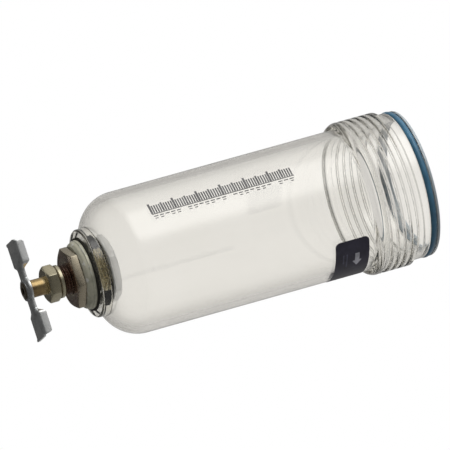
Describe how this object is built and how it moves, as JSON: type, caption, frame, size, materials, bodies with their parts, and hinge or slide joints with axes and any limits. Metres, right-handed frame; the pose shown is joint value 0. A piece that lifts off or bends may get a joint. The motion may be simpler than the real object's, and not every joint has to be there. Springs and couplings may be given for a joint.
{
  "type": "compressed air filter bowl",
  "caption": "Clear threaded air filter bowl with a round closed end, mouth O-ring, hex drain bushing and a T-handled screw-down drain cock.",
  "frame": {"origin": "centre of the bowl's open mouth, in the plane of its end face", "axes": "+Z along the bowl's axis, out of the mouth towards the filter head; the drain cock points to -Z; +X is the side that the T-handle lies along, roughly"},
  "size_m": [0.0678, 0.0678, 0.1808],
  "materials": {
    "clear_plastic": "clear moulded polycarbonate",
    "blue_rubber": "smooth blue O-ring",
    "label_film": "printed dark film",
    "black_rubber": "matt black rubber",
    "plated_brass": "dull plated brass",
    "bushing_brass": "machined brass, tarnished",
    "cock_brass": "machined brass",
    "stem_brass": "turned brass",
    "handle_steel": "zinc plated pressed steel",
    "steel": "plain steel",
    "white_plastic": "white PTFE",
    "fibre_gasket": "pressed fibre"
  },
  "bodies": {
    "root": {"bowl": "clear_plastic", "bowl_o_ring": "blue_rubber", "arrow_label": "label_film", "outer_gasket": "black_rubber", "flange_washer": "plated_brass", "drain_bushing": "bushing_brass", "inner_gasket": "fibre_gasket", "lock_washer": "steel", "lock_nut": "plated_brass", "cock_body": "cock_brass", "valve_seat": "cock_brass"},
    "seat_carrier": {"seat_disc": "white_plastic"},
    "stem_group": {"stem": "stem_brass", "seat_screw": "steel", "stem_thrust_ring": "white_plastic", "stem_o_ring": "black_rubber", "stem_backup_ring": "white_plastic", "t_handle": "handle_steel", "handle_washer": "steel"}
  },
  "joints": [
    {"name": "stem_lift", "type": "slide", "parent": "root", "child": "seat_carrier", "axis": [0, 0, -1], "range_m": [0, 0.00132]},
    {"name": "stem_turn", "type": "hinge", "parent": "seat_carrier", "child": "stem_group", "pos_m": [0, 0, -0.17], "axis": [0, 0, -1], "range_deg": [0, 450]}
  ],
  "couplings": [
    {"joint": "stem_turn", "follows": "stem_lift", "rad_per_m": 5938.6}
  ]
}
